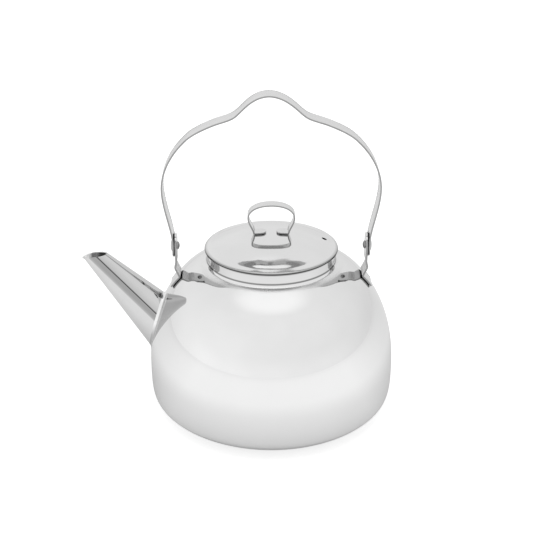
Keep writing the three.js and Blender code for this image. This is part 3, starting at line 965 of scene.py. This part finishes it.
dome = list(domeLine)
edgeTop = dome[-1][1]
slope = math.tan(math.radians(lidShape["borderSlopes"][-1][1]))
corner = (lidShape["reach"], edgeTop - lidShape["rimTurn"] * slope)
rimEnd = (lidShape["reach"], edgeTop - lidShape["rimTurn"])
for i in range(1, 9):
    t = i / 8
    dome.append(tuple(a * (1 - t) ** 2 + b * 2 * t * (1 - t) + c * t * t
                      for a, b, c in zip(domeLine[-1], corner, rimEnd)))
under = offsetPoints(dome, -lidShape["sheet"])
under[0] = (0.0, dome[0][1] - lidShape["sheet"])
edge = [((dome[-1][0] + under[-1][0]) / 2, min(dome[-1][1], under[-1][1]) - lidShape["edgeRound"])]
# every second point is enough for the underside
lid = turnOutline("lidDome", dome + edge + list(reversed(under[::2])), lidShape["sides"])
cutAway(lid, drill(lidShape["ventRadius"], (*lidShape["vent"], domeAt(math.hypot(*lidShape["vent"])))))
smoothFaces(lid)


def lidSlot(face):
    # the underside stays as it was drawn
    centre = face.center * 1000
    skin = domeAt(math.hypot(centre.x, centre.y)) - lidShape["skin"]
    return 1 if face.normal.z < -0.2 and centre.z < skin else 0


paintFaces(lid, [pressedSteel, drawnSteel], lidSlot)
finishPiece(lid, "lid", "lid_steel", "lid_cover")

landDrop = -lidShape["sheet"] - lidShape["seatGap"]
ringTop = domeAt(lidShape["ringReach"], landDrop)
landReach = lidShape["ringReach"] - lidShape["ringLand"]
ringFace = roundCorners([(lidShape["ringReach"], lidShape["ringFoot"]), (lidShape["ringReach"], ringTop),
                         (landReach, domeAt(landReach, landDrop))], lidShape["ringBend"])
ringBack = offsetPoints(ringFace, lidShape["ringSheet"])
seatRing = turnOutline("lidSeatRing", ringFace + list(reversed(ringBack)) + [ringFace[0]],
                       lidShape["sides"])
smoothFaces(seatRing)
paintFaces(seatRing, [drawnSteel])
finishPiece(seatRing, "lid", "ring_steel", "lid_ring")
print("lid pressed")

# knob

knobShape = {
    "footEnd": 3.0,
    "waist": 10.9,
    "bend": 1.3,
    "half": 3.6,
    "sheet": 0.9,
    "edge": 0.22,
    "curves": [
        ((11.89, 119.2), (14.2, 121.9), (14.2, 125.3)),
        ((14.2, 130.193), (8.52, 133.563), (0.0, 133.563)),
    ],
}

seat = domeAt(knobShape["waist"], lidShape["seatGap"])
foot = roundCorners([(knobShape["footEnd"], domeAt(knobShape["footEnd"], lidShape["seatGap"])),
                     (knobShape["waist"], seat),
                     (knobShape["waist"], seat + 2 * knobShape["bend"])], knobShape["bend"])[:-1]
loop = curvePoints(foot[-1], knobShape["curves"], [24, 28])
right = foot + loop[1:]
path = right + [(-x, z) for x, z in reversed(right[:-1])]
knob = bendStrip("lidLoop", stripRows(path, knobShape["half"], 0.6, True, True), knobShape["sheet"],
                 knobShape["edge"])
smoothFaces(knob)
paintFaces(knob, [stripSteel, edgeSteel], edgeSlot)
finishPiece(knob, "lid", "knob_steel", "lid_knob")
print("knob bent")


# stage: a pale floor, a white tent of a world and one broad soft box above

stage = {
    "floorSize": 8.0,
    "floorColour": "#C4C4C4",
    "glowSeen": 0.72,  # keeps the paper white to the eye
    "glowFront": 0.45,  # what the steel shows of the paper before and behind the kettle
    "glowBack": 0.23,
    "glowShadowed": 0.25,  # close to the kettle
    "boxSize": 0.9,
    "boxPlace": (0.05, -0.25, 1.5),
    "boxPower": 3.2,
}

deselectAll()
bpy.ops.mesh.primitive_plane_add(size=stage["floorSize"], location=(0, 0, -0.0003))
floor = bpy.context.active_object
floor.name = "paleFloor"
paper = bpy.data.materials.new("whitePaperSweep")
paper.use_nodes = True
tree = paper.node_tree
tree.nodes.clear()
spot = addNode(tree, "ShaderNodeTexCoord").outputs["Object"]
heading = addNode(tree, "ShaderNodeVectorMath", {0: spot}, operation="NORMALIZE")
compass = addNode(tree, "ShaderNodeSeparateXYZ", {"Vector": heading.outputs["Vector"]})
# in reflections the paper's glow is painted brighter in front of the kettle than behind it
mirrored = addNode(tree, "ShaderNodeMapRange", {
    "Value": compass.outputs["Y"], "From Min": -0.4, "From Max": 0.7, "To Min": stage["glowFront"],
    "To Max": stage["glowBack"]})
reach = addNode(tree, "ShaderNodeVectorMath", {0: spot}, operation="LENGTH")
# and a painted shadow takes the mirrored glow down close to the kettle
lost = addNode(tree, "ShaderNodeMapRange", {
    "Value": reach.outputs["Value"], "From Min": 0.06, "From Max": 0.18, "To Min": stage["glowShadowed"],
    "To Max": 0.0}, interpolation_type="SMOOTHSTEP")
kept = addNode(tree, "ShaderNodeMath", {
    0: mirrored.outputs["Result"], 1: lost.outputs["Result"]}, operation="SUBTRACT", use_clamp=True)
rays = addNode(tree, "ShaderNodeLightPath")
reflected = addNode(tree, "ShaderNodeMath", {
    0: rays.outputs["Is Glossy Ray"], 1: kept.outputs["Value"]}, operation="MULTIPLY")
direct = addNode(tree, "ShaderNodeMath", {
    0: rays.outputs["Is Camera Ray"], 1: rays.outputs["Is Transmission Ray"]}, operation="MAXIMUM")
glow = addNode(tree, "ShaderNodeMath", {
    0: direct.outputs["Value"], 1: stage["glowSeen"], 2: reflected.outputs["Value"]},
    operation="MULTIPLY_ADD")
matte = addNode(tree, "ShaderNodeBsdfDiffuse", {"Color": linearColour(stage["floorColour"])})
light = addNode(tree, "ShaderNodeEmission", {
    "Color": linearColour("#FFFFFF"), "Strength": glow.outputs["Value"]})
both = addNode(tree, "ShaderNodeAddShader", {0: matte.outputs["BSDF"], 1: light.outputs["Emission"]})
addNode(tree, "ShaderNodeOutputMaterial", {"Surface": both.outputs["Shader"]})
floor.data.materials.append(paper)

tent = {
    "horizon": (0.97, 0.8),  # front, back
    "walls": (0.915, 0.845),
    "rightDimming": 0.065,
    "roof": 0.17,  # how much brighter the roof is than the walls
    "folds": (0.985, 1.015),
}

world = bpy.data.worlds.new("whiteTent")
bpy.context.scene.world = world
world.use_nodes = True
tree = world.node_tree
tree.nodes.clear()
look = addNode(tree, "ShaderNodeTexCoord")
parts = addNode(tree, "ShaderNodeSeparateXYZ", {"Vector": look.outputs["Generated"]})


def tentLevel(key, start, end):
    front, back = tent[key]
    return addNode(tree, "ShaderNodeMapRange", {
        "Value": parts.outputs["Y"], "From Min": start, "From Max": end, "To Min": front, "To Max": back})


horizon = tentLevel("horizon", -0.4, 0.5)
walls = tentLevel("walls", -0.4, 0.6)
lifted = addNode(tree, "ShaderNodeMapRange", {
    "Value": parts.outputs["Z"], "From Min": 0.02, "From Max": 0.32}, interpolation_type="SMOOTHSTEP")
around = addNode(tree, "ShaderNodeMix", {
    "Factor": lifted.outputs["Result"], 2: horizon.outputs["Result"], 3: walls.outputs["Result"]},
    data_type="FLOAT")
# the right wall is a little dimmer, but not the roof
low = addNode(tree, "ShaderNodeMapRange", {
    "Value": parts.outputs["Z"], "From Min": 0.3, "From Max": 0.8, "To Min": -tent["rightDimming"],
    "To Max": 0.0})
sideways = addNode(tree, "ShaderNodeMath", {
    0: parts.outputs["X"], 1: low.outputs["Result"], 2: 1.0}, operation="MULTIPLY_ADD")
roof = addNode(tree, "ShaderNodeMapRange", {
    "Value": parts.outputs["Z"], "From Min": 0.86, "From Max": 0.99, "To Max": tent["roof"]},
    interpolation_type="SMOOTHSTEP")
lit = addNode(tree, "ShaderNodeMath", {
    0: around.outputs[0], 1: sideways.outputs["Value"], 2: roof.outputs["Result"]},
    operation="MULTIPLY_ADD")
cloth = addNode(tree, "ShaderNodeTexNoise", {
    "Vector": look.outputs["Generated"], "Scale": 2.2, "Detail": 1.5, "Roughness": 0.5})
folds = addNode(tree, "ShaderNodeMapRange", {
    "Value": cloth.outputs["Fac"], "From Min": 0.3, "From Max": 0.7, "To Min": tent["folds"][0],
    "To Max": tent["folds"][1]})
strength = addNode(tree, "ShaderNodeMath", {0: lit.outputs["Value"], 1: folds.outputs["Result"]},
                   operation="MULTIPLY")
# the camera and clear things see plain white past the floor
rays = addNode(tree, "ShaderNodeLightPath")
direct = addNode(tree, "ShaderNodeMath", {
    0: rays.outputs["Is Camera Ray"], 1: rays.outputs["Is Transmission Ray"]}, operation="MAXIMUM")
seen = addNode(tree, "ShaderNodeMix", {
    "Factor": direct.outputs["Value"], 2: strength.outputs["Value"], 3: 1.0}, data_type="FLOAT")
background = addNode(tree, "ShaderNodeBackground", {
    "Color": linearColour("#FFFFFF"), "Strength": seen.outputs[0]})
addNode(tree, "ShaderNodeOutputWorld", {"Surface": background.outputs["Background"]})

boxData = bpy.data.lights.new("topSoftBox", "AREA")
boxData.shape = "SQUARE"
boxData.size = stage["boxSize"]
boxData.energy = stage["boxPower"]
softBox = bpy.data.objects.new("topSoftBox", boxData)
softBox.visible_glossy = False  # its edges would draw a hard square on the mirror
softBox.location = stage["boxPlace"]
softBox.rotation_euler = (Vector((0, 0, 0.08)) - softBox.location).to_track_quat("-Z", "Y").to_euler()
bpy.context.scene.collection.objects.link(softBox)
print("stage lit")

deselectAll()
